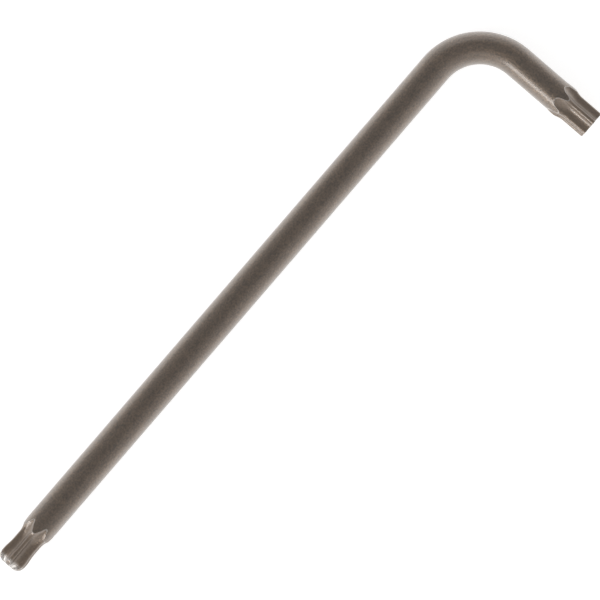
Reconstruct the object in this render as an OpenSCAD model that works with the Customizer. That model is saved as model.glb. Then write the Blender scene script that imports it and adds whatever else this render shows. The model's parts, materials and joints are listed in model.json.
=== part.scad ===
// Star key: an L-shaped hexalobular key formed from one round steel bar.
// The long arm ends in a ball star, the short arm in a straight star.
// The key lies flat: long arm along X, short arm along Y, underside on Z = 0,
// origin under the centre of its outline. All lengths are in millimetres.

/* [Bar] */
// Diameter of the round bar
bar_d = 4.72; // [4.5:0.02:5.4]
// Overall length, from the ball end to the outer side of the short arm
long_reach = 104; // [60:1:200]
// Overall width, from the star end to the outer side of the long arm
short_reach = 24.5; // [20:0.5:60]
// Radius of the bend at the middle of the bar
bend_r = 8.34; // [5:0.02:13]

/* [Flutes] */
// Radius of each flute across its hollow
flute_r = 1; // [0.85:0.01:1.1]
// Radius of each rounded lobe
lobe_r = 0.42; // [0.36:0.01:0.5]
// Radius along which a flute's floor rises out of the bar
runout_r = 8.2; // [5:0.1:14]
// Plain bar that each tip keeps behind its flutes
tip_collar = 0.8; // [0.2:0.1:3]

/* [Star tip] */
// Width across opposite lobes
star_a = 4.4; // [4:0.02:4.48]
// Width across opposite flute floors
star_b = 3.18; // [2.8:0.02:3.6]
// Length of the flutes at full depth
flute_len = 3; // [1.5:0.1:6]
// Distance from the end at which the lobes reach the bar's full diameter
lobe_len = 4.8; // [3:0.1:8]
// Length over which the lobes taper up to the bar
lobe_taper = 1.7; // [1:0.1:2.8]
// Chamfer round the end
end_chamfer = 0.15; // [0.05:0.01:0.3]
// Height by which the bar swells where the flutes run out
star_swell = 0.09; // [0.02:0.01:0.2]
// Radius of the swell along the arm
swell_arc_r = 14; // [8:0.5:20]
// Turn of the lobes, in degrees
star_turn = 10; // [-30:1:30]

/* [Ball tip] */
// Width across opposite lobes at the fullest part
ball_a = 4.46; // [4.3:0.02:4.5]
// Width across opposite flute floors at the fullest part
ball_b = 3.18; // [3:0.02:3.5]
// Width across opposite lobes at the neck
neck_a = 4.08; // [3.8:0.02:4.16]
// Width across opposite flute floors at the neck
neck_b = 2.84; // [2.5:0.02:2.94]
// Distance from the end to the fullest part
ball_pos = 1.5; // [1.3:0.1:1.9]
// Distance from the end to the neck
neck_pos = 3.6; // [3.2:0.1:5]
// Radius that rounds the end
nose_r = 1.35; // [1.1:0.05:1.5]
// Radius of the ball along the arm, on the lobes
barrel_arc_r = 5.4; // [4.8:0.1:9]
// Radius of the ball along the arm, on the flute floors
floor_arc_r = 6; // [5:0.1:12]
// Radius of the neck along the arm, on the lobes and the ball's side
neck_arc_r = 7; // [6:0.1:12]
// Turn of the lobes, in degrees
ball_turn = -6; // [-30:1:30]

/* [Hidden] */
$fn = 96;

// Lobes, and so flutes, round each tip
lobes = 6;
pitch = 360 / lobes;

// Share of a lobe's radius that stands outside the core under the lobes
core_share = 0.88;

// Length by which a cut passes the surface that it leaves
overrun = 0.4;
// Depth by which a run-out's arc dips under the straight flute before it rises
flute_dip = 0.02;
// Depth by which the rounded nose is cut flat
nose_dip = 0.03;
// Amount by which the rounded nose stands outside the ball where the two meet
nose_over = 0.01;
// Height between the neck's two arcs at its narrowest place
neck_dip = 0.003;
// Length by which the swell and the shoulder pass the end of the flutes
fade = 0.08;
// Length from the end of the shoulder to the top of its arc
shoulder_lead = 0.33;
// Shares of the neck's whole rise that set the radius of its hollow arc and of its rounded shoulder
neck_back_share = 0.56;
shoulder_share = 0.5;

bar_r = bar_d / 2;
lie_z = bar_r + star_swell;
steel = "#5b534b";

// Axes of the arms, and where the bend leaves them
long_y = short_reach / 2 - bar_r;
short_x = long_reach / 2 - bar_r;
bend_x = short_x - bend_r;
bend_y = long_y - bend_r;

// Lowest flute floor of each tip, and the length in which it rises to the bar's surface
star_floor = star_b / 2 - flute_dip;
neck_floor = neck_b / 2;
star_rise = arc_run(runout_r, bar_r - star_floor);
neck_rise = arc_run(runout_r, bar_r - neck_floor);
star_len = flute_len + star_rise + tip_collar;
ball_len = neck_pos + neck_rise + tip_collar;

// Top of the swell on the star's side of the bar
swell_pos = flute_len + star_rise + fade - arc_run(swell_arc_r, star_swell);

// Where the ball's arcs give way to the neck's, on the lobes and on the flute floors
neck_span = neck_pos - ball_pos;
lobe_turn_pos = ball_pos + neck_span * barrel_arc_r / (barrel_arc_r + neck_arc_r);
floor_turn_pos = ball_pos + neck_span * floor_arc_r / (floor_arc_r + runout_r);

// Arcs on which the lobes rise from the neck to the bar, and where one gives way to the other
rise_len = neck_rise + fade + shoulder_lead;
rise_h = bar_r - neck_a / 2;
rise_arcs = (pow(rise_len, 2) + pow(rise_h, 2)) / (2 * rise_h);
neck_back_r = neck_back_share * rise_arcs;
shoulder_r = shoulder_share * rise_arcs;
shoulder_pos = neck_pos + rise_len;
shoulder_over = shoulder_r - sqrt(pow(shoulder_r, 2) - pow(shoulder_lead, 2));
rise_turn_pos = neck_pos + rise_len * neck_back_r / (neck_back_r + shoulder_r);

// Radius of the core under lobes of a width
function core_r(width) = width / 2 - core_share * lobe_r;

// Length in which an arc climbs by a height from its lowest point
function arc_run(r, height) = sqrt(pow(r, 2) - pow(r - height, 2));

// Tips are shaped along +Z with their end on Z = 0 and a lobe on +X, then turned and laid on their arm.
module at_ball_end() {
    translate([-long_reach / 2, long_y, lie_z])
        rotate([0, 90, 0])
            rotate([0, 0, ball_turn])
                children();
}

module at_star_end() {
    translate([short_x, -short_reach / 2, lie_z])
        rotate([-90, 0, 0])
            rotate([0, 0, star_turn - 90])
                children();
}

// Repeats a shape at every lobe
module at_lobes() {
    for (i = [0 : lobes - 1])
        rotate([0, 0, i * pitch])
            children();
}

// Repeats a shape at every flute, half a pitch on from the lobes
module at_flutes() {
    rotate([0, 0, pitch / 2])
        at_lobes()
            children();
}

// A round cutter swept along an arc in the XZ plane, from one angle to another
module swept_cutter(centre_x, centre_z, path_r, from, to) {
    translate([centre_x, 0, centre_z])
        rotate([90, 0, 0])
            rotate([0, 0, from])
                rotate_extrude(angle = to - from)
                    translate([path_r, 0])
                        circle(r = flute_r);
}

// The end of a flute: its floor passes through the lowest point and climbs out of the bar
module runout(floor_r, low_pos, back) {
    lead = asin(back / runout_r);
    climb = asin(arc_run(runout_r, bar_r + overrun - floor_r) / runout_r);
    swept_cutter(floor_r + runout_r, low_pos, runout_r - flute_r, 180 - climb, 180 + lead);
}

// Six rounded lobes round a core, as a straight bar
module lobed_bar(width, len) {
    cylinder(r = core_r(width), h = len);
    at_lobes()
        translate([width / 2 - lobe_r, 0, 0])
            cylinder(r = lobe_r, h = len);
}

// Straight flute with its run-out
module star_flute() {
    translate([star_b / 2 + flute_r, 0, -overrun])
        cylinder(r = flute_r, h = flute_len + overrun);
    runout(star_floor, flute_len, arc_run(runout_r, 2 * flute_dip));
}

// Ring that bevels the end of the star
module end_bevel() {
    edge = star_a / 2;
    rotate_extrude()
        polygon([
            [edge - end_chamfer - overrun, -overrun],
            [edge + overrun, -overrun],
            [edge + overrun, end_chamfer + overrun]
        ]);
}

// Round bar that swells, then tapers into the lobes of the star
module star_shoulder() {
    taper_pos = lobe_len - lobe_taper;
    low_r = core_r(star_a);
    open_r = bar_r + overrun;
    open_pos = taper_pos + (open_r - low_r) * lobe_taper / (bar_r - low_r);
    rotate_extrude()
        intersection() {
            union() {
                translate([bar_r + star_swell - swell_arc_r, swell_pos])
                    circle(r = swell_arc_r);
                translate([0, swell_pos])
                    square([bar_r, star_len - swell_pos]);
            }
            polygon([
                [0, taper_pos],
                [low_r, taper_pos],
                [open_r, open_pos],
                [open_r, star_len],
                [0, star_len]
            ]);
        }
}

module star_tip() {
    color(steel)
        at_star_end()
            difference() {
                union() {
                    lobed_bar(star_a, lobe_len);
                    star_shoulder();
                }
                at_flutes()
                    star_flute();
                end_bevel();
            }
}

// Flute that follows the ball, dips into the neck and runs out
module ball_flute() {
    back = asin((ball_pos + overrun) / floor_arc_r);
    front = asin((floor_turn_pos - ball_pos) / floor_arc_r);
    swept_cutter(ball_b / 2 - floor_arc_r, ball_pos, floor_arc_r + flute_r, -back, front);
    runout(neck_floor, neck_pos, neck_span);
}

// Half section of the nose: a rounded corner under an open square
module nose_outline() {
    nose_x = ball_a / 2 + nose_over - nose_r;
    nose_z = nose_r - nose_dip;
    translate([nose_x, nose_z])
        circle(r = nose_r);
    square([nose_x, lobe_turn_pos]);
    translate([0, nose_z])
        square([bar_r, lobe_turn_pos - nose_z]);
}

// Hollow of the neck: a tight arc on the ball's side and a slow one towards the bar
module neck_hollow() {
    translate([neck_a / 2 + neck_arc_r, neck_pos])
        circle(r = neck_arc_r);
    intersection() {
        translate([neck_a / 2 + neck_dip + neck_back_r, neck_pos])
            circle(r = neck_back_r);
        translate([0, neck_pos])
            square([bar_r + overrun, neck_rise]);
    }
}

// Half section of the shoulder, where the bar rounds over towards the neck
module shoulder_outline() {
    intersection() {
        translate([0, rise_turn_pos])
            square([bar_r, ball_len - rise_turn_pos]);
        union() {
            translate([bar_r + shoulder_over - shoulder_r, shoulder_pos])
                circle(r = shoulder_r);
            translate([0, shoulder_pos])
                square([bar_r + overrun, ball_len + overrun - shoulder_pos]);
        }
    }
}

// Half section of the turned blank: nose, ball, neck, shoulder and bar
module ball_outline() {
    difference() {
        union() {
            intersection() {
                translate([ball_a / 2 - barrel_arc_r, ball_pos])
                    circle(r = barrel_arc_r);
                nose_outline();
                square([bar_r, lobe_turn_pos]);
            }
            translate([0, lobe_turn_pos])
                square([bar_r, rise_turn_pos - lobe_turn_pos]);
            shoulder_outline();
        }
        neck_hollow();
    }
}

module ball_star_tip() {
    color(steel)
        at_ball_end()
            difference() {
                intersection() {
                    rotate_extrude()
                        ball_outline();
                    union() {
                        lobed_bar(ball_a, neck_pos + overrun);
                        translate([0, 0, neck_pos])
                            cylinder(r = bar_r + overrun, h = ball_len - neck_pos);
                    }
                }
                at_flutes()
                    ball_flute();
            }
}

module long_arm() {
    color(steel)
        at_ball_end()
            translate([0, 0, ball_len])
                cylinder(r = bar_r, h = bend_x + long_reach / 2 - ball_len);
}

module bend() {
    color(steel)
        translate([bend_x, bend_y, lie_z])
            rotate_extrude(angle = 90)
                translate([bend_r, 0])
                    circle(r = bar_r);
}

module short_arm() {
    color(steel)
        at_star_end()
            translate([0, 0, star_len])
                cylinder(r = bar_r, h = bend_y + short_reach / 2 - star_len);
}

ball_star_tip();
long_arm();
bend();
short_arm();
star_tip();
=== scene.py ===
"""Visual model of a star key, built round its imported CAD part.

The key is one steel bar under a dark oxide: a ball star, a long arm, a bend, a short arm and a straight star.
Each of these sections is a closed mesh that stands for the CAD node of the same stretch of bar.
Sizes of the key and of the view are in millimetres and degrees, and become metres and radians where a mesh
or an object is made. Those of the table and the lamps are in metres and degrees.
"""

import json
import logging
import math
from abc import ABC, abstractmethod
from dataclasses import dataclass
from enum import Enum
from typing import Any

import bmesh
import bpy
import numpy as np
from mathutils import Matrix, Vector


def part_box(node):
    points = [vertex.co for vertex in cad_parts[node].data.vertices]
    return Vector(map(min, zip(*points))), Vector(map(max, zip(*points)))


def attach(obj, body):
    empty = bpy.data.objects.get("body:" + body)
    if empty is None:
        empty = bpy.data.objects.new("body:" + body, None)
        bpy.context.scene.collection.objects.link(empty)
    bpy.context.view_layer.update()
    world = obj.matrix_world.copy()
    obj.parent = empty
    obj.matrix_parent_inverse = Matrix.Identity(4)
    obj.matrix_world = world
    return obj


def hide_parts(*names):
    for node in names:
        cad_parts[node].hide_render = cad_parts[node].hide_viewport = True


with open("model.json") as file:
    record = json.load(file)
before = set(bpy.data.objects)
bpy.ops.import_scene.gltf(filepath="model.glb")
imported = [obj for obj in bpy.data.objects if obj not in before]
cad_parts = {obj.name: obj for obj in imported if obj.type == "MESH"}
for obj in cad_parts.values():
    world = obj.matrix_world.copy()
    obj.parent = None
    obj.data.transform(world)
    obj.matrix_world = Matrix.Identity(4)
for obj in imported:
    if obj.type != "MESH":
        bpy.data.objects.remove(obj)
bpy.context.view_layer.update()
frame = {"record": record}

log = logging.getLogger("star_key")

MM = 0.001
QUARTER_TURN = 90.0
BODY = "root"

Colour = tuple[float, float, float]
Span = tuple[float, float]

UNIT_SPAN: Span = (0.0, 1.0)


class Section(Enum):
    """The stretches of the bar, by the names of their CAD nodes."""

    BALL_STAR_TIP = "ball_star_tip"
    LONG_ARM = "long_arm"
    BEND = "bend"
    SHORT_ARM = "short_arm"
    STAR_TIP = "star_tip"

    @property
    def piece_name(self) -> str:
        """Name of the piece that stands for this section's node."""
        return f"{self.value}_finished"


class Layer(Enum):
    """Names of the surface values that the meshes carry for their finish."""

    SKIN = "skin"
    # Wear of edges and rims, and on the ball's nose lighter rubbed steel that also paints in highlights
    WEAR = "wear_and_nose_glint"
    FLUTED = "fluted"


def add_object(name: str, data: Any) -> bpy.types.Object:
    """Makes an object at the origin and links it to the scene.

    Args:
        name: the object's name.
        data: its mesh, lamp or camera.

    Returns:
        The new object.
    """
    made = bpy.data.objects.new(name, data)
    bpy.context.scene.collection.objects.link(made)
    return made


# Node trees


class Wiring:
    """Short form for building a node tree: one call places a node, sets it and wires its inputs."""

    # Sockets of a Mix node that mixes colours
    MIX_SHARE, MIX_LOW, MIX_HIGH, MIX_RESULT = 0, 6, 7, 2

    def __init__(self, tree: bpy.types.NodeTree) -> None:
        """Takes the tree that the nodes go into."""
        self.tree = tree

    @classmethod
    def emptied(cls, owner: bpy.types.Material | bpy.types.World) -> "Wiring":
        """Turns on the nodes of a material or a world and clears them.

        Args:
            owner: the material or world.

        Returns:
            The wiring of its tree.
        """
        owner.use_nodes = True
        owner.node_tree.nodes.clear()
        return cls(owner.node_tree)

    def add(self, kind: str, inputs: dict[str | int, Any] | None = None, **settings: Any) -> bpy.types.Node:
        """Places one node.

        Args:
            kind: Blender's type name of the node.
            inputs: values or output sockets, by the name or number of the input that takes them.
            settings: the node's own properties, set before its inputs.

        Returns:
            The new node.
        """
        node = self.tree.nodes.new(kind)
        for name, value in settings.items():
            setattr(node, name, value)
        for key, value in (inputs or {}).items():
            self.feed(node.inputs[key], value)
        return node

    def feed(self, socket: bpy.types.NodeSocket, value: Any) -> None:
        """Fills an input.

        Args:
            socket: the input.
            value: an output to wire into it, or the input's own value.
        """
        if isinstance(value, bpy.types.NodeSocket):
            self.tree.links.new(value, socket)
        else:
            socket.default_value = value

    def math(self, operation: str, *values: Any) -> bpy.types.NodeSocket:
        """Places a Math node on the given values and returns its result."""
        return self.add("ShaderNodeMath", dict(enumerate(values)), operation=operation).outputs[0]

    def mix_colour(self, share: Any, low: Any, high: Any) -> bpy.types.NodeSocket:
        """Places a colour mix that goes from low to high and returns its result."""
        inputs = {self.MIX_SHARE: share, self.MIX_LOW: low, self.MIX_HIGH: high}
        return self.add("ShaderNodeMix", inputs, data_type="RGBA").outputs[self.MIX_RESULT]

    def spread(self, value: Any, source: Span, target: Span, blend: str = "LINEAR") -> bpy.types.NodeSocket:
        """Places a clamped Map Range node from one span to another and returns its result."""
        ends = dict(enumerate((*source, *target), start=1))
        return self.add("ShaderNodeMapRange", {0: value, **ends}, interpolation_type=blend).outputs[0]


def open_group(name: str, kind: str, takes: dict[str, str], gives: dict[str, str]) -> bpy.types.NodeTree:
    """Makes an empty node group with its named sockets.

    Args:
        name: the group's name.
        kind: "GeometryNodeTree" or "ShaderNodeTree".
        takes: socket type of each input, by name.
        gives: socket type of each output, by name.

    Returns:
        The new group.
    """
    group = bpy.data.node_groups.new(name, kind)
    for direction, sockets in (("INPUT", takes), ("OUTPUT", gives)):
        for socket_name, socket_kind in sockets.items():
            group.interface.new_socket(socket_name, in_out=direction, socket_type=socket_kind)
    return group


def bar_sweep_tree() -> bpy.types.NodeTree:
    """Makes the geometry nodes that sweep a round bar along one straight or curved stretch.

    Returns:
        The tree, whose inputs are the stretch's ends and handles, the bar's radius and the mesh's counts.
    """
    places = ("Start", "Start Handle", "End Handle", "End")
    takes = {
        **{name: "NodeSocketVector" for name in places},
        "Radius": "NodeSocketFloat",
        "Rings": "NodeSocketInt",
        "Sides": "NodeSocketInt",
        "Crease": "NodeSocketFloat",
        "Material": "NodeSocketMaterial",
    }
    tree = open_group("bar_sweep", "GeometryNodeTree", takes, {"Geometry": "NodeSocketGeometry"})
    wiring = Wiring(tree)
    given = wiring.add("NodeGroupInput").outputs
    ends = {name: given[name] for name in places}
    path = wiring.add("GeometryNodeCurvePrimitiveBezierSegment", {"Resolution": given["Rings"], **ends},
                      mode="POSITION")
    ring = wiring.add("GeometryNodeCurvePrimitiveCircle",
                      {"Resolution": given["Sides"], "Radius": given["Radius"]}, mode="RADIUS")
    swept = wiring.add("GeometryNodeCurveToMesh", {
        "Curve": path.outputs[0],
        "Profile Curve": ring.outputs[0],
        "Fill Caps": True,
    })
    finish_tree(wiring, swept.outputs[0], given)
    return tree


def lobe_ring_tree() -> bpy.types.NodeTree:
    """Makes the geometry nodes that repeat one lobe round a tip and lay the tip on its arm.

    Returns:
        The tree, whose inputs are one lobe's mesh, the count and turn of the lobes and the tip's place.
    """
    takes = {
        "Geometry": "NodeSocketGeometry",
        "Lobes": "NodeSocketInt",
        "Turn": "NodeSocketFloat",
        "Tilt": "NodeSocketVector",
        "Place": "NodeSocketVector",
        "Weld": "NodeSocketFloat",
        "Crease": "NodeSocketFloat",
        "Material": "NodeSocketMaterial",
    }
    tree = open_group("lobe_ring", "GeometryNodeTree", takes, {"Geometry": "NodeSocketGeometry"})
    wiring = Wiring(tree)
    given = wiring.add("NodeGroupInput").outputs
    points = wiring.add("GeometryNodePoints", {"Count": given["Lobes"]})
    pitch = wiring.math("DIVIDE", math.tau, given["Lobes"])
    index = wiring.add("GeometryNodeInputIndex").outputs[0]
    angle = wiring.math("MULTIPLY_ADD", index, pitch, given["Turn"])
    turn = wiring.add("ShaderNodeCombineXYZ", {"Z": angle}).outputs[0]
    placed = wiring.add("GeometryNodeInstanceOnPoints", {
        "Points": points.outputs[0],
        "Instance": given["Geometry"],
        "Rotation": wiring.add("FunctionNodeEulerToRotation", {0: turn}).outputs[0],
    })
    whole = wiring.add("GeometryNodeRealizeInstances", {"Geometry": placed.outputs[0]})
    welded = wiring.add("GeometryNodeMergeByDistance", {
        "Geometry": whole.outputs[0],
        "Distance": given["Weld"],
    })
    laid = wiring.add("GeometryNodeTransform", {
        "Geometry": welded.outputs[0],
        "Translation": given["Place"],
        "Rotation": wiring.add("FunctionNodeEulerToRotation", {0: given["Tilt"]}).outputs[0],
    })
    finish_tree(wiring, laid.outputs[0], given)
    return tree


def finish_tree(wiring: Wiring, shape: bpy.types.NodeSocket, given: Any) -> None:
    """Ends a tree: shades the shape smooth but for its creases, realizes it and gives it its material.

    Args:
        wiring: the tree being built.
        shape: the geometry to finish.
        given: the tree's inputs, with Crease and Material among them.
    """
    angle = wiring.add("GeometryNodeInputMeshEdgeAngle").outputs["Unsigned Angle"]
    creased = wiring.add("FunctionNodeCompare", {0: angle, 1: given["Crease"]}, operation="GREATER_THAN")
    smooth = wiring.add("GeometryNodeSetShadeSmooth", {
        "Geometry": shape,
        "Shade Smooth": True,
    }, domain="FACE")
    edged = wiring.add("GeometryNodeSetShadeSmooth", {
        "Geometry": smooth.outputs[0],
        "Selection": creased.outputs[0],
        "Shade Smooth": False,
    }, domain="EDGE")
    whole = wiring.add("GeometryNodeRealizeInstances", {"Geometry": edged.outputs[0]})
    dressed = wiring.add("GeometryNodeSetMaterial",
                         {"Geometry": whole.outputs[0], "Material": given["Material"]})
    wiring.add("NodeGroupOutput", {"Geometry": dressed.outputs[0]})


def through_nodes(name: str, mesh: bpy.types.Mesh, tree: bpy.types.NodeTree,
                  values: dict[str, Any]) -> bpy.types.Object:
    """Runs a mesh through geometry nodes and keeps the result as a plain mesh.

    Args:
        name: name of the piece.
        mesh: what goes in, which is removed afterwards.
        tree: the geometry nodes.
        values: the tree's inputs, by name.

    Returns:
        A new object at the origin, with no modifiers.
    """
    piece = add_object(name, mesh)
    modifier = piece.modifiers.new(tree.name, "NODES")
    modifier.node_group = tree
    for item in tree.interface.items_tree:
        if item.item_type == "SOCKET" and item.in_out == "INPUT" and item.name in values:
            modifier[item.identifier] = values[item.name]
    depsgraph = bpy.context.evaluated_depsgraph_get()
    plain = bpy.data.meshes.new_from_object(piece.evaluated_get(depsgraph), depsgraph=depsgraph)
    piece.modifiers.remove(modifier)
    piece.data = plain
    bpy.data.meshes.remove(mesh)
    plain.name = name
    return piece


# The key's line


@dataclass(frozen=True)
class KeyPath:
    """Where the bar runs, in millimetres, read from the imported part."""

    bar_r: float
    axis_z: float
    long_y: float
    short_x: float
    ball_x: float
    ball_back_x: float
    bend_x: float
    bend_y: float
    star_back_y: float
    star_y: float

    @classmethod
    def from_frame(cls) -> "KeyPath":
        """Reads the bar's radius and axes from the mounts and the sections' ends from the nodes' boxes.

        Returns:
            The path.
        """
        mounts = {mount["name"]: mount for mount in frame["record"]["mounts"]}
        long_shank, short_shank = mounts["long_arm_shank"], mounts["short_arm_shank"]
        low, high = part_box(Section.LONG_ARM.value)
        short_low, short_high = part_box(Section.SHORT_ARM.value)
        return cls(
            bar_r=long_shank["dims"]["r_mm"],
            axis_z=long_shank["pos_m"][2] / MM,
            long_y=long_shank["pos_m"][1] / MM,
            short_x=short_shank["pos_m"][0] / MM,
            ball_x=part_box(Section.BALL_STAR_TIP.value)[0].x / MM,
            ball_back_x=low.x / MM,
            bend_x=high.x / MM,
            bend_y=short_high.y / MM,
            star_back_y=short_low.y / MM,
            star_y=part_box(Section.STAR_TIP.value)[0].y / MM,
        )

    @property
    def bend_r(self) -> float:
        """Radius of the bend at the middle of the bar."""
        return self.short_x - self.bend_x

    @property
    def star_len(self) -> float:
        """Length of the star tip along its arm."""
        return self.star_back_y - self.star_y

    @property
    def ball_len(self) -> float:
        """Length of the ball tip along its arm."""
        return self.ball_back_x - self.ball_x

    def at(self, x: float, y: float) -> Vector:
        """A point on the level of the bar's axis."""
        return Vector((x, y, self.axis_z))

    def straightened(self, places: np.ndarray) -> np.ndarray:
        """Unrolls places on the key to a straight bar, so that a finish can follow the bar round its bend.

        Args:
            places: points on the key in millimetres, one a row.

        Returns:
            One row a point: distance along the bar, distance out from the bend's centre and height, the last
            two from the bar's axis.
        """
        x, y, z = places.T
        straight = self.bend_x - self.ball_x
        from_x, from_y = x - self.bend_x, y - self.bend_y
        turn = np.arctan2(np.maximum(from_x, 0.0), np.maximum(from_y, 0.0))
        on_long, on_short = x <= self.bend_x, y <= self.bend_y
        along = np.select([on_long, on_short], [
            x - self.ball_x,
            straight + self.bend_r * math.pi / 2 - from_y,
        ], straight + self.bend_r * turn)
        out = np.select([on_long, on_short], [y - self.long_y, x - self.short_x],
                        np.hypot(from_x, from_y) - self.bend_r)
        return np.column_stack([along, out, z - self.axis_z])


@dataclass(kw_only=True)
class KeySection(ABC):
    """One stretch of the key: it builds its mesh and takes the place of its CAD node."""

    path: KeyPath
    section: Section
    material: bpy.types.Material
    # Angle between two faces over which their edge stays sharp
    crease: float = 60.0

    @abstractmethod
    def build(self) -> bpy.types.Object:
        """Makes the section's closed mesh as a piece at the origin."""

    def dressing(self) -> dict[str, Any]:
        """Crease and material, as inputs of a tree."""
        return {"Crease": math.radians(self.crease), "Material": self.material}

    def finished(self) -> bpy.types.Object:
        """Builds the piece, gives its mesh what the finish needs and puts it in its node's place.

        Returns:
            The finished piece.
        """
        piece = self.build()
        self.face_outwards(piece.data)
        self.lay_skin(piece.data)
        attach(piece, BODY)
        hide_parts(self.section.value)
        log.info("%s: %d faces", piece.name, len(piece.data.polygons))
        return piece

    @staticmethod
    def face_outwards(mesh: bpy.types.Mesh) -> None:
        """Turns every face outwards.

        Args:
            mesh: a closed mesh.
        """
        work = bmesh.new()
        work.from_mesh(mesh)
        bmesh.ops.recalc_face_normals(work, faces=work.faces)
        work.to_mesh(mesh)
        work.free()

    def lay_skin(self, mesh: bpy.types.Mesh) -> None:
        """Gives every point its place on the straightened bar, in millimetres.

        Args:
            mesh: the section's mesh.
        """
        places = np.empty(3 * len(mesh.vertices))
        mesh.vertices.foreach_get("co", places)
        skin = self.path.straightened(places.reshape(-1, 3) / MM)
        layer = mesh.attributes.new(Layer.SKIN.value, "FLOAT_VECTOR", "POINT")
        layer.data.foreach_set("vector", skin.ravel())


# Plain bar


@dataclass(kw_only=True)
class BarSection(KeySection):
    """A stretch of plain round bar along a straight line or a quarter turn."""

    ends: tuple[Vector, Vector]
    handles: tuple[Vector, Vector]
    rings: int
    tree: bpy.types.NodeTree
    sides: int = 360

    def build(self) -> bpy.types.Object:
        """Sweeps the bar along its stretch.

        Returns:
            The piece.
        """
        start, end = (place * MM for place in self.ends)
        start_handle, end_handle = (place * MM for place in self.handles)
        return through_nodes(self.section.piece_name, bpy.data.meshes.new("bar_seed"), self.tree, {
            "Start": start,
            "Start Handle": start_handle,
            "End Handle": end_handle,
            "End": end,
            "Radius": self.path.bar_r * MM,
            "Rings": self.rings,
            "Sides": self.sides,
            **self.dressing(),
        })


@dataclass(frozen=True)
class BarMaker:
    """Lays out the three plain stretches of the bar."""

    path: KeyPath
    tree: bpy.types.NodeTree
    # Rings of points along each stretch
    long_rings: int = 48
    bend_rings: int = 96
    short_rings: int = 16
    # Share of a quarter turn's radius at which its handles stand from its ends
    quarter_share: float = 4 / 3 * (math.sqrt(2) - 1)
    # The same for a straight stretch, as a share of its length
    third_share: float = 1 / 3

    def stretch(self, section: Section, material: bpy.types.Material, ends: tuple[Vector, Vector],
                pulls: tuple[Vector, Vector], rings: int) -> BarSection:
        """Lays out one stretch.

        Args:
            section: which section it is.
            material: its finish.
            ends: its two ends, in millimetres.
            pulls: the steps from each end to its handle.
            rings: rings of points along it.

        Returns:
            The section, ready to build.
        """
        handles = (ends[0] + pulls[0], ends[1] + pulls[1])
        return BarSection(path=self.path, section=section, material=material, ends=ends, handles=handles,
                          rings=rings, tree=self.tree)

    def straight(self, section: Section, material: bpy.types.Material, ends: tuple[Vector, Vector],
                 rings: int) -> BarSection:
        """Lays out a straight stretch between two ends."""
        step = (ends[1] - ends[0]) * self.third_share
        return self.stretch(section, material, ends, (step, -step), rings)

    def long_arm(self, material: bpy.types.Material) -> BarSection:
        """Lays out the long arm, from the ball tip to the bend.

        Args:
            material: its finish.

        Returns:
            The section, ready to build.
        """
        path = self.path
        ends = (path.at(path.ball_back_x, path.long_y), path.at(path.bend_x, path.long_y))
        return self.straight(Section.LONG_ARM, material, ends, self.long_rings)

    def bend(self, material: bpy.types.Material) -> BarSection:
        """Lays out the quarter turn between the arms.

        Args:
            material: its finish.

        Returns:
            The section, ready to build.
        """
        path = self.path
        reach = path.bend_r * self.quarter_share
        ends = (path.at(path.bend_x, path.long_y), path.at(path.short_x, path.bend_y))
        pulls = (Vector((reach, 0.0, 0.0)), Vector((0.0, reach, 0.0)))
        return self.stretch(Section.BEND, material, ends, pulls, self.bend_rings)

    def short_arm(self, material: bpy.types.Material) -> BarSection:
        """Lays out the short arm, from the bend to the star tip.

        Args:
            material: its finish.

        Returns:
            The section, ready to build.
        """
        path = self.path
        ends = (path.at(path.short_x, path.bend_y), path.at(path.short_x, path.star_back_y))
        return self.straight(Section.SHORT_ARM, material, ends, self.short_rings)


# Fluted tips


def melt(first: np.ndarray, second: np.ndarray, width: float) -> tuple[np.ndarray, np.ndarray]:
    """Takes the lower of two surfaces and rounds the edge where they cross.

    Args:
        first: heights of one surface.
        second: heights of the other.
        width: difference in height below which the two are blended.

    Returns:
        The blended heights, and how near each point is to the edge, from 0 to 1.
    """
    near = np.clip(1 - np.abs(first - second) / width, 0, 1)
    return np.minimum(first, second) - near**2 * width / 4, near


def arc_rise(radius: float, distance: np.ndarray) -> np.ndarray:
    """Gives the height to which an arc has climbed at a distance from its lowest point."""
    return radius - np.sqrt(radius**2 - np.clip(distance, -radius, radius) ** 2)


def eased(share: np.ndarray) -> np.ndarray:
    """Holds a share between 0 and 1 and lets it start and end gently."""
    held = np.clip(share, 0, 1)
    return held**2 * (3 - 2 * held)


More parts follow.
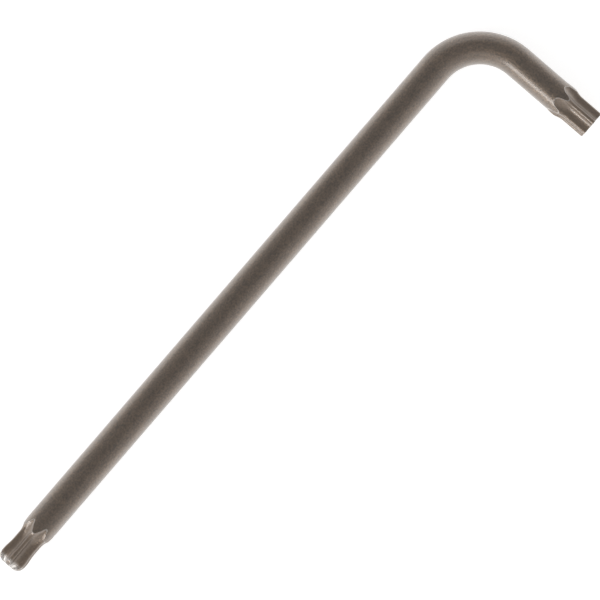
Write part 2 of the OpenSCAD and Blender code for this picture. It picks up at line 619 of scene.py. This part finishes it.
@dataclass(kw_only=True)
class FlutedTip(KeySection):
    """A tip with six rounded lobes and six flutes, which run out together into the round bar."""

    tree: bpy.types.NodeTree
    rim_r: float
    width: float
    floor_width: float
    # Rings of points over the rounded front and behind it
    front_rings: int
    body_rings: int
    lobes: int = 6
    lobe_r: float = 0.38
    runout_r: float = 3.0
    runout_slope: float = 0.33
    edge_round: float = 0.05
    # Depth under the bar's outline at which the surface has the full finish of a flute
    flute_depth: float = 0.06
    # Steps of the mesh over one lobe, and points in each of them when the profile is measured
    steps: int = 72
    fine: int = 40
    # Distance within which points of neighbouring lobes are joined
    weld: float = 1e-4
    # Shares of the radius at which the end faces have rings of points
    cap_shares: tuple[float, ...] = (0.15, 0.5, 0.8, 0.95)

    @property
    def half_pitch(self) -> float:
        """Angle between the middles of a lobe and of the flute beside it, in radians."""
        return math.pi / self.lobes

    @property
    def flute_r(self) -> float:
        """Works out the radius of flutes that run into the lobes without an edge.

        Returns:
            The radius.
        """
        middle, floor = self.width / 2 - self.lobe_r, self.floor_width / 2
        reach = middle * math.cos(self.half_pitch)
        over = middle**2 + floor**2 - 2 * reach * floor - self.lobe_r**2
        return over / (2 * (self.lobe_r - floor + reach))

    def profile(self, angle: np.ndarray) -> np.ndarray:
        """Gives the height of the star's outline over its flutes' floors, as a share of the lobes' height.

        Args:
            angle: angles from the lobe's middle, in radians.

        Returns:
            Shares from 0 in the middle of a flute to 1 on the lobe.
        """
        crest, floor = self.width / 2, self.floor_width / 2
        middle, centre = crest - self.lobe_r, floor + self.flute_r
        off = self.half_pitch - np.abs(angle)
        top = middle * np.cos(angle) + np.sqrt(np.maximum(self.lobe_r**2 - (middle * np.sin(angle)) ** 2, 0))
        wall = centre * np.cos(off) - np.sqrt(np.maximum(self.flute_r**2 - (centre * np.sin(off)) ** 2, 0))
        ahead = centre * math.cos(self.half_pitch) - middle
        beside = centre * math.sin(self.half_pitch)
        share = self.lobe_r / math.hypot(ahead, beside)
        meeting = math.atan2(share * beside, middle + share * ahead)
        return (np.where(np.abs(angle) < meeting, top, wall) - floor) / (crest - floor)

    def angles(self) -> np.ndarray:
        """Spaces the mesh's columns evenly along the profile of one lobe and half of each flute beside it.

        Returns:
            The columns' angles from the lobe's middle, in radians.
        """
        fine = np.linspace(-self.half_pitch, self.half_pitch, self.fine * self.steps + 1)
        floor = self.floor_width / 2
        radius = floor + (self.width / 2 - floor) * self.profile(fine)
        steps = np.hypot(np.diff(radius * np.cos(fine)), np.diff(radius * np.sin(fine)))
        run = np.concatenate([[0.0], np.cumsum(steps)])
        return np.interp(np.linspace(0, run[-1], self.steps + 1), run, fine)

    @abstractmethod
    def crest(self, place: np.ndarray) -> np.ndarray:
        """Radius of the rounded lobes' crests at a distance from the end."""

    @abstractmethod
    def floor(self, place: np.ndarray) -> np.ndarray:
        """Radius of the flutes' floors at a distance from the end."""

    @abstractmethod
    def outline(self, place: np.ndarray) -> np.ndarray:
        """Radius of the turned bar that the lobes and flutes are cut in."""

    @abstractmethod
    def ring_places(self) -> np.ndarray:
        """Distances from the end at which the mesh has its rings of points."""

    @abstractmethod
    def lay(self) -> dict[str, Any]:
        """Turn, tilt and place of the tip, as inputs of the tree."""

    def spaced_rings(self, front: float, length: float) -> np.ndarray:
        """Spaces rings closely over a rounded front of the given length, then evenly."""
        rounded = front * (1 - np.cos(np.linspace(0, math.pi / 2, self.front_rings)))
        return np.concatenate([rounded, np.linspace(front, length, self.body_rings)[1:]])

    def rubbing_and_highlight(self, place: np.ndarray) -> np.ndarray:
        """Wear in the flutes at a distance from the end, besides that of the edges; on the ball it also
        paints in highlights at the nose.
        """
        return np.zeros_like(place)

    def runout(self, past: np.ndarray) -> np.ndarray:
        """Follows the run-out of lobes and flutes: a short arc, then a straight ramp.

        Args:
            past: distances past the start of the run-out.

        Returns:
            The height at each place.
        """
        arc_len = self.runout_r * math.sin(math.atan(self.runout_slope))
        bent = arc_rise(self.runout_r, np.clip(past, 0, arc_len))
        return bent + self.runout_slope * np.maximum(past - arc_len, 0)

    def surface(self, angle: np.ndarray, place: np.ndarray) -> tuple[np.ndarray, np.ndarray, np.ndarray]:
        """Works out the tip's radius over one lobe and half of each flute beside it.

        Args:
            angle: angles from the lobe's middle, in radians.
            place: distances from the end.

        Returns:
            The radius at each place and angle, how much wear each has, the nose's also lightening it as a
            painted highlight, and how far each lies in a flute or on a lobe rather than on the bar, the last
            two from 0 to 1.
        """
        floor, outline = self.floor(place), self.outline(place)
        cut = floor + (self.crest(place) - floor) * self.profile(angle)
        turned, edge = melt(cut, outline * np.ones_like(cut), self.edge_round)
        past = np.maximum(self.rim_r - place, 0)
        fluted = np.clip((outline - cut) / self.flute_depth, 0, 1)
        # Rim wear, and on the ball lighter rubbed steel at the nose that also paints in highlights there
        wear_and_glint = np.maximum(past / self.rim_r, self.rubbing_and_highlight(place) * fluted)
        return turned - arc_rise(self.rim_r, past), np.maximum(edge, wear_and_glint), fluted

    def lobe_mesh(self) -> bpy.types.Mesh:
        """Makes one lobe as a wedge, open at its two sides and closed at both ends.

        Returns:
            The mesh, along +Z with its end on Z = 0 and the lobe on +X.
        """
        angle = self.angles()
        place = self.ring_places()
        radius, *layers = self.surface(angle[None, :], place[:, None])
        shares = np.array(self.cap_shares)[:, None]
        plain = np.zeros((len(shares), len(angle)))
        radii = np.vstack([shares * radius[0], radius, shares[::-1] * radius[-1]])
        heights = np.concatenate([np.full(len(shares), place[0]), place, np.full(len(shares), place[-1])])
        levels = heights[:, None] * np.ones_like(radii)
        ring = np.stack([radii * np.cos(angle), radii * np.sin(angle), levels], -1)
        middles = np.array([[0, 0, place[0]], [0, 0, place[-1]]])
        points = np.vstack([ring.reshape(-1, 3), middles]) * MM
        mesh = bpy.data.meshes.new("lobe")
        mesh.from_pydata(points.tolist(), [], self.wedge_faces(*radii.shape))
        for name, values in zip((Layer.WEAR, Layer.FLUTED), layers):
            layer = mesh.attributes.new(name.value, "FLOAT", "POINT")
            values = np.vstack([plain, values, plain]).ravel()
            layer.data.foreach_set("value", np.concatenate([values, np.zeros(len(middles))]))
        return mesh

    @staticmethod
    def wedge_faces(rows: int, columns: int) -> list[tuple[int, ...]]:
        """Lists the faces of a wedge: a grid of points with a fan at each end.

        Args:
            rows: rings of the grid.
            columns: points in each ring.

        Returns:
            The points of each face, by number. The two fans' middles come after the grid.
        """
        front, back = rows * columns, rows * columns + 1
        last = (rows - 1) * columns
        faces: list[tuple[int, ...]] = []
        for column in range(columns - 1):
            faces.append((front, column + 1, column))
            faces.append((back, last + column, last + column + 1))
            for row in range(rows - 1):
                corner = row * columns + column
                faces.append((corner, corner + 1, corner + columns + 1, corner + columns))
        return faces

    def build(self) -> bpy.types.Object:
        """Repeats the lobe round the tip and lays the tip on its arm.

        Returns:
            The piece.
        """
        return through_nodes(self.section.piece_name, self.lobe_mesh(), self.tree, {
            "Lobes": self.lobes,
            "Weld": self.weld * MM,
            **self.lay(),
            **self.dressing(),
        })


@dataclass(kw_only=True)
class StarTip(FlutedTip):
    """The straight star at the end of the short arm."""

    rim_r: float = 0.12
    width: float = 4.4
    floor_width: float = 3.16
    front_rings: int = 8
    body_rings: int = 170
    runout_pos: float = 3.53
    swell: float = 0.09
    swell_pos: float = 5.0
    swell_arc_r: float = 14.0
    turn: float = 11.0

    def crest(self, place: np.ndarray) -> np.ndarray:
        """Straight lobes that rise into the swell."""
        return self.width / 2 + self.runout(place - self.runout_pos)

    def floor(self, place: np.ndarray) -> np.ndarray:
        """Straight floors that run out beside the lobes."""
        return self.floor_width / 2 + self.runout(place - self.runout_pos)

    def outline(self, place: np.ndarray) -> np.ndarray:
        """The bar, swollen by the forging of the star."""
        past = np.maximum(place - self.swell_pos, 0)
        return self.path.bar_r + np.maximum(self.swell - arc_rise(self.swell_arc_r, past), 0)

    def ring_places(self) -> np.ndarray:
        """Close rings over the rounded rim, then even ones."""
        return self.spaced_rings(self.rim_r, self.path.star_len)

    def lay(self) -> dict[str, Any]:
        """Lays the star on the short arm, a lobe a little off the top.

        Returns:
            Turn, tilt and place of the tip, as inputs of the tree.
        """
        path = self.path
        return {
            "Turn": math.radians(self.turn - QUARTER_TURN),
            "Tilt": (math.radians(-QUARTER_TURN), 0.0, 0.0),
            "Place": path.at(path.short_x, path.star_y) * MM,
        }


@dataclass(kw_only=True)
class BallTip(FlutedTip):
    """The ball star and neck at the end of the long arm."""

    rim_r: float = 0.05
    width: float = 4.46
    floor_width: float = 3.18
    front_rings: int = 40
    body_rings: int = 150
    neck_width: float = 4.09
    neck_floor_width: float = 2.84
    ball_pos: float = 1.5
    neck_pos: float = 3.85
    flute_runout_pos: float = 4.2
    lobe_runout_pos: float = 4.75
    barrel_arc_r: float = 5.4
    front_arc_r: float = 1.8
    lip_pos: float = 5.6
    lip_r: float = 1.2
    nose_r: float = 1.35
    nose_pos: float = 1.32
    nose_over: float = 0.03
    # Strength of the lighter rubbed steel in the ball's flutes near the nose, a wear that also paints in the
    # nose's highlights
    nose_wear_and_highlight: float = 1.4
    shoulder: float = 0.05
    shoulder_pos: float = 5.5
    turn: float = -6.0

    def waist(self, place: np.ndarray, ball_r: float, neck_r: float, runout_pos: float) -> np.ndarray:
        """Follows the ball, dips into the neck and runs out.

        Args:
            place: distances from the end.
            ball_r: radius at the fullest place of the ball.
            neck_r: radius at the neck.
            runout_pos: distance from the end at which the run-out starts.

        Returns:
            The radius at each place.
        """
        span, drop = self.neck_pos - self.ball_pos, ball_r - neck_r
        # The two arcs meet without an edge when the neck's radius fits the drop that the ball's leaves
        hollow_r = (span**2 + drop**2) / (2 * drop) - self.barrel_arc_r
        change = self.ball_pos + span * self.barrel_arc_r / (self.barrel_arc_r + hollow_r)
        ball = ball_r - arc_rise(self.barrel_arc_r, place - self.ball_pos)
        hollow = neck_r + arc_rise(hollow_r, np.minimum(place - self.neck_pos, 0))
        return np.where(place < change, ball, hollow + self.runout(place - runout_pos))

    def crest(self, place: np.ndarray) -> np.ndarray:
        """Lobes that follow the ball and the neck and rise into the bar, at last on a steep lip."""
        rise = self.waist(place, self.width / 2, self.neck_width / 2, self.lobe_runout_pos)
        return rise + arc_rise(self.lip_r, np.maximum(place - self.lip_pos, 0))

    def floor(self, place: np.ndarray) -> np.ndarray:
        """Floors that follow the lobes and fall off with the nose.

        Args:
            place: distances from the end.

        Returns:
            The radius at each place.
        """
        along = self.waist(place, self.floor_width / 2, self.neck_floor_width / 2, self.flute_runout_pos)
        front = self.floor_width / 2 - arc_rise(self.front_arc_r, place - self.ball_pos)
        return np.where(place < self.ball_pos, front, along)

    def outline(self, place: np.ndarray) -> np.ndarray:
        """The bar with its low shoulder, and the rounded nose of the ball.

        Args:
            place: distances from the end.

        Returns:
            The radius at each place.
        """
        past = self.nose_pos - place
        nose = self.width / 2 + self.nose_over - np.where(past > 0, arc_rise(self.nose_r, past), past)
        share = (place - self.shoulder_pos) / (self.path.ball_len - self.shoulder_pos)
        bar = self.path.bar_r - self.shoulder * (1 - eased(share))
        return np.minimum(nose, bar)

    def rubbing_and_highlight(self, place: np.ndarray) -> np.ndarray:
        """The flutes of the ball are rubbed to lighter steel more and more towards the end, which also paints
        in brighter highlights on the nose.
        """
        return np.clip(self.nose_wear_and_highlight * (1 - place / self.ball_pos), 0, 1)

    def ring_places(self) -> np.ndarray:
        """Close rings over the nose, then even ones."""
        return self.spaced_rings(self.nose_pos, self.path.ball_len)

    def lay(self) -> dict[str, Any]:
        """Lays the ball on the long arm, a lobe a little off the top.

        Returns:
            Turn, tilt and place of the tip, as inputs of the tree.
        """
        path = self.path
        return {
            "Turn": math.radians(self.turn),
            "Tilt": (0.0, math.radians(QUARTER_TURN), 0.0),
            "Place": path.at(path.ball_x, path.long_y) * MM,
        }


# Finishes


@dataclass(frozen=True)
class SkinNoise:
    """A noise on the straightened bar."""

    detail: float
    roughness: float = 0.5
    # Share at which lengths along the bar count, so that a low one draws the noise out along it
    along: float = 1.0
    # The middle of the noise's range, which is spread over 0 to 1
    middle: Span = (0.3, 0.7)

    def place(self, wiring: Wiring, skin: Any, density: Any) -> bpy.types.NodeSocket:
        """Places the noise in a group.

        Args:
            wiring: the group being built.
            skin: places on the straightened bar.
            density: spots of the noise on a millimetre.

        Returns:
            The noise, from 0 to 1.
        """
        drawn = wiring.add("ShaderNodeVectorMath", {0: skin, 1: (self.along, 1.0, 1.0)}, operation="MULTIPLY")
        noise = wiring.add("ShaderNodeTexNoise", {
            "Vector": drawn.outputs[0],
            "Scale": density,
            "Detail": self.detail,
            "Roughness": self.roughness,
        })
        return wiring.spread(noise.outputs[0], self.middle, UNIT_SPAN)


CLOUDS = SkinNoise(detail=5.0, roughness=0.6, along=0.55)
GRAINS = SkinNoise(detail=3.0, roughness=0.55)
DRAWN_LINES = SkinNoise(detail=2.0, along=0.02)


def oxide_mottle_group() -> bpy.types.NodeTree:
    """Makes the cloudy tone and fine grain of an oxide coat, its clouds drawn out along the bar.

    Returns:
        The group: it takes the skin and the densities of clouds and grains, and gives Tone and Grain from 0
        to 1.
    """
    takes = {"Skin": "NodeSocketVector", "Clouds": "NodeSocketFloat", "Grains": "NodeSocketFloat"}
    gives = {"Tone": "NodeSocketFloat", "Grain": "NodeSocketFloat"}
    group = open_group("oxide_mottle", "ShaderNodeTree", takes, gives)
    wiring = Wiring(group)
    given = wiring.add("NodeGroupInput").outputs
    wiring.add("NodeGroupOutput", {
        "Tone": CLOUDS.place(wiring, given["Skin"], given["Clouds"]),
        "Grain": GRAINS.place(wiring, given["Skin"], given["Grains"]),
    })
    return group


def draw_lines_group() -> bpy.types.NodeTree:
    """Makes the faint lines that drawing leaves along a bar.

    Returns:
        The group: it takes the skin and the lines' density, and gives Line from 0 to 1.
    """
    takes = {"Skin": "NodeSocketVector", "Density": "NodeSocketFloat"}
    group = open_group("draw_lines", "ShaderNodeTree", takes, {"Line": "NodeSocketFloat"})
    wiring = Wiring(group)
    given = wiring.add("NodeGroupInput").outputs
    wiring.add("NodeGroupOutput", {"Line": DRAWN_LINES.place(wiring, given["Skin"], given["Density"])})
    return group


def edge_polish_group() -> bpy.types.NodeTree:
    """Makes the mask of places where use has rubbed the oxide thin, which at the ball's nose also paints in
    highlights.

    Returns:
        The group: it takes the mesh's wear and a grain that breaks it up, and gives Mask from 0 to 1.
    """
    # Low grain holds back up to half of the wear, and the mask grows over a span of what is left
    low_grain, kept_wear, polished = (0.0, 0.6), (0.5, 1.0), (0.2, 0.9)
    takes = {"Wear": "NodeSocketFloat", "Grain": "NodeSocketFloat"}
    group = open_group("edge_polish", "ShaderNodeTree", takes, {"Mask": "NodeSocketFloat"})
    wiring = Wiring(group)
    given = wiring.add("NodeGroupInput").outputs
    broken = wiring.math("MULTIPLY", given["Wear"], wiring.spread(given["Grain"], low_grain, kept_wear))
    wiring.add("NodeGroupOutput", {"Mask": wiring.spread(broken, polished, UNIT_SPAN, "SMOOTHSTEP")})
    return group


@dataclass(frozen=True)
class SurfaceEffects:
    """The shader groups that the finishes share."""

    mottle: bpy.types.NodeTree
    lines: bpy.types.NodeTree
    polish: bpy.types.NodeTree

    @classmethod
    def make(cls) -> "SurfaceEffects":
        """Builds each group once."""
        return cls(oxide_mottle_group(), draw_lines_group(), edge_polish_group())


@dataclass(frozen=True)
class OxideFinish:
    """A dark brown-grey oxide coat on steel, satin, oiled and rubbed brighter on its edges."""

    name: str
    dark: Colour = (0.068, 0.047, 0.031)
    brown: Colour = (0.222, 0.155, 0.103)
    flute_dark: Colour = (0.125, 0.08, 0.046)
    flute_brown: Colour = (0.22, 0.145, 0.088)
    # Bare steel where the oxide is rubbed off; at the ball's nose it also paints in highlights
    rubbed: Colour = (0.6, 0.57, 0.54)
    metallic: float = 1.0
    flute_metallic: float = 0.5
    # Spots or lines on a millimetre
    clouds: float = 0.9
    grains: float = 4.0
    line_density: float = 8.0
    # Share of the grain in the coat's colour, the rest being the clouds
    grain_share: float = 0.78
    rough_low: float = 0.33
    rough_high: float = 0.43
    # Changes of roughness on the fluted surfaces and on rubbed places
    flute_smooth: float = -0.07
    rubbed_smooth: float = -0.05
    grain_height: float = 0.036
    line_height: float = 0.001
    # How much of the oxide is gone where the mask of rubbed places is full
    wear: float = 0.8
    oil: float = 1.0
    oil_rough: float = 0.33
    oil_ior: float = 2.0

    def material(self, effects: SurfaceEffects) -> bpy.types.Material:
        """Builds the finish as a material.

        Args:
            effects: the groups that it shares with the other finishes.

        Returns:
            The material.
        """
        made = bpy.data.materials.new(self.name)
        wiring = Wiring.emptied(made)
        skin = wiring.add("ShaderNodeAttribute", attribute_name=Layer.SKIN.value).outputs["Vector"]
        wear_and_glint, fluted = (
            wiring.add("ShaderNodeAttribute", attribute_name=layer.value).outputs["Fac"]
            for layer in (Layer.WEAR, Layer.FLUTED)
        )
        mottle = wiring.add("ShaderNodeGroup", {
            "Skin": skin,
            "Clouds": self.clouds,
            "Grains": self.grains,
        }, node_tree=effects.mottle)
        tone, grain = mottle.outputs["Tone"], mottle.outputs["Grain"]
        lines = wiring.add("ShaderNodeGroup", {
            "Skin": skin,
            "Density": self.line_density,
        }, node_tree=effects.lines)
        polish = wiring.add("ShaderNodeGroup", {"Wear": wear_and_glint, "Grain": grain}, node_tree=effects.polish)
        rubbed = wiring.math("MULTIPLY", polish.outputs["Mask"], self.wear)
        clouded = wiring.math("MULTIPLY", tone, 1 - self.grain_share)
        depth = wiring.math("MULTIPLY_ADD", grain, self.grain_share, clouded)
        coat, flute_coat = (
            wiring.mix_colour(depth, (*low, 1.0), (*high, 1.0))
            for low, high in ((self.dark, self.brown), (self.flute_dark, self.flute_brown))
        )
        # Rubbed steel on edges and rims, and at the ball's nose also a painted highlight
        colour = wiring.mix_colour(rubbed, wiring.mix_colour(fluted, coat, flute_coat), (*self.rubbed, 1.0))
        satin = wiring.spread(grain, UNIT_SPAN, (self.rough_low, self.rough_high))
        smoother = wiring.math("MULTIPLY_ADD", fluted, self.flute_smooth, satin)
        rough = wiring.math("MULTIPLY_ADD", rubbed, self.rubbed_smooth, smoother)
        metal = wiring.spread(fluted, UNIT_SPAN, (self.metallic, self.flute_metallic))
        height = wiring.math(
            "ADD",
            wiring.math("MULTIPLY", grain, self.grain_height),
            wiring.math("MULTIPLY", lines.outputs["Line"], self.line_height),
        )
        bump = wiring.add("ShaderNodeBump", {"Height": height, "Distance": MM, "Strength": 1.0})
        shader = wiring.add("ShaderNodeBsdfPrincipled", {
            "Base Color": colour,
            "Roughness": rough,
            "Metallic": metal,
            "Coat Weight": self.oil,
            "Coat Roughness": self.oil_rough,
            "Coat IOR": self.oil_ior,
            "Normal": bump.outputs[0],
        })
        wiring.add("ShaderNodeOutputMaterial", {"Surface": shader.outputs[0]})
        return made


# Studio


@dataclass(frozen=True)
class Softbox:
    """A soft studio lamp aimed at the key, placed by its direction from it."""

    name: str
    azimuth: float
    elevation: float
    distance: float
    size: tuple[float, float]
    watts: float

    def place(self, target: Vector) -> None:
        """Hangs the lamp.

        Args:
            target: the point that it faces, in metres.
        """
        data = bpy.data.lights.new(self.name, "AREA")
        data.shape = "RECTANGLE"
        data.size, data.size_y = self.size
        data.energy = self.watts
        lamp = add_object(self.name, data)
        turn, rise = math.radians(self.azimuth), math.radians(self.elevation)
        away = Vector((math.cos(turn) * math.cos(rise), math.sin(turn) * math.cos(rise), math.sin(rise)))
        lamp.location = target + away * self.distance
        lamp.rotation_euler = away.to_track_quat("Z", "Y").to_euler()
        lamp.visible_camera = False


@dataclass(frozen=True)
class Studio:
    """White table, a sky that darkens overhead, soft lamps and the camera."""

    # Brightness of the surroundings by degrees above the horizon
    sky: tuple[Span, ...] = (
        (0.0, 0.77),
        (18.0, 0.62),
        (40.0, 0.42),
        (65.0, 0.33),
        (90.0, 0.27),
    )
    # Shares by which the surroundings darken towards +X and +Y and brighten the other way
    lean: tuple[float, float, float] = (0.15, 0.16, 0.0)
    table_half: float = 4.0
    # The table's own light for the camera and in reflections, and its grey under the lamps
    table_glow: float = 0.765
    table_mirrored: float = 1.0
    table_grey: float = 0.6
    lamps: tuple[Softbox, ...] = (
        Softbox("key_softbox", azimuth=165.0, elevation=28.2, distance=1.2, size=(1.05, 0.33), watts=5.8),
        Softbox("fill_panel", azimuth=280.0, elevation=35.0, distance=0.3, size=(0.2, 0.28), watts=0.035),
        Softbox("side_panel", azimuth=222.0, elevation=46.0, distance=1.5, size=(0.6, 0.5), watts=0.45),
        Softbox("back_panel", azimuth=50.0, elevation=24.0, distance=0.3, size=(0.3, 0.08), watts=0.05),
        Softbox("top_panel", azimuth=0.0, elevation=80.0, distance=0.3, size=(0.15, 0.15), watts=0.008),
    )

    def build(self, view: "PhotoView", path: KeyPath) -> None:
        """Builds the whole studio round the key.

        Args:
            view: the camera.
            path: where the key lies.
        """
        bpy.context.scene.view_settings.view_transform = "Standard"
        self.lay_table()
        self.light_sky()
        target = path.at(path.short_x, path.bend_y) * MM
        for lamp in self.lamps:
            lamp.place(target)
        view.place(path)

    def lay_table(self) -> None:
        """Lays a white table under the key, which glows for the camera and in reflections."""
        half = self.table_half
        mesh = bpy.data.meshes.new("table")
        corners = [(-half, -half, 0.0), (half, -half, 0.0), (half, half, 0.0), (-half, half, 0.0)]
        mesh.from_pydata(corners, [], [(0, 1, 2, 3)])
        mesh.materials.append(self.table_white())
        table = add_object("table", mesh)

    def table_white(self) -> bpy.types.Material:
        """Builds the table's white, which keeps the key's faint shadow.

        Returns:
            The material.
        """
        made = bpy.data.materials.new("table_white")
        wiring = Wiring.emptied(made)
        rays = wiring.add("ShaderNodeLightPath").outputs
        seen = wiring.math("MAXIMUM", rays["Is Camera Ray"], rays["Is Transmission Ray"])
        shown = wiring.math("MULTIPLY", seen, self.table_glow)
        strength = wiring.math("MULTIPLY_ADD", rays["Is Glossy Ray"], self.table_mirrored, shown)
        glow = wiring.add("ShaderNodeEmission", {"Strength": strength})
        matt = wiring.add("ShaderNodeBsdfDiffuse", {"Color": (*[self.table_grey] * 3, 1.0)})
        both = wiring.add("ShaderNodeAddShader", {0: glow.outputs[0], 1: matt.outputs[0]})
        wiring.add("ShaderNodeOutputMaterial", {"Surface": both.outputs[0]})
        return made

    def light_sky(self) -> None:
        """Builds the surroundings: bright at the horizon and dim overhead."""
        world = bpy.data.worlds.new("studio_sky")
        bpy.context.scene.world = world
        wiring = Wiring.emptied(world)
        way = wiring.add("ShaderNodeTexCoord").outputs["Generated"]
        rise = wiring.add("ShaderNodeSeparateXYZ", {0: way}).outputs["Z"]
        ramp = wiring.add("ShaderNodeValToRGB", {"Fac": rise})
        stops = ramp.color_ramp.elements
        while len(stops) < len(self.sky):
            stops.new(1.0)
        for stop, (degrees, level) in zip(stops, self.sky):
            stop.position = math.sin(math.radians(degrees))
            stop.color = (level, level, level, 1.0)
        side = wiring.add("ShaderNodeVectorMath", {0: way, 1: self.lean}, operation="DOT_PRODUCT")
        strength = wiring.math("SUBTRACT", 1.0, side.outputs["Value"])
        light = wiring.add("ShaderNodeBackground", {"Color": ramp.outputs[0], "Strength": strength})
        wiring.add("ShaderNodeOutputWorld", {"Surface": light.outputs[0]})


@dataclass(frozen=True)
class PhotoView:
    """The camera, square above the key with the long arm across the picture's diagonal."""

    centre_x: float = 3.697
    centre_y: float = 2.988
    width: float = 85.44
    roll: float = -49.274
    lens: float = 300.0
    sensor: float = 36.0

    def place(self, path: KeyPath) -> None:
        """Hangs the camera so that the picture is as wide as the view at the height of the bar's axis.

        Args:
            path: where the key lies.
        """
        data = bpy.data.cameras.new("camera")
        data.lens, data.sensor_width = self.lens, self.sensor
        data.sensor_fit = "HORIZONTAL"
        camera = add_object("camera", data)
        above = self.width * self.lens / self.sensor
        camera.location = Vector((self.centre_x, self.centre_y, path.axis_z + above)) * MM
        camera.rotation_euler = (0.0, 0.0, math.radians(self.roll))
        bpy.context.scene.camera = camera


def main() -> None:
    """Builds the key section by section, then the studio round it."""
    logging.basicConfig(level=logging.INFO, format="%(name)s: %(message)s")
    path = KeyPath.from_frame()
    effects = SurfaceEffects.make()
    coat = OxideFinish("bar_oxide").material(effects)
    bend_coat = OxideFinish("bend_oxide", grain_height=0.06).material(effects)
    bars = BarMaker(path, bar_sweep_tree())
    ring = lobe_ring_tree()
    sections: tuple[KeySection, ...] = (
        BallTip(path=path, section=Section.BALL_STAR_TIP, material=coat, tree=ring),
        bars.long_arm(coat),
        bars.bend(bend_coat),
        bars.short_arm(coat),
        StarTip(path=path, section=Section.STAR_TIP, material=coat, tree=ring),
    )
    for section in sections:
        section.finished()
    Studio().build(PhotoView(), path)


if __name__ == "__main__":
    main()
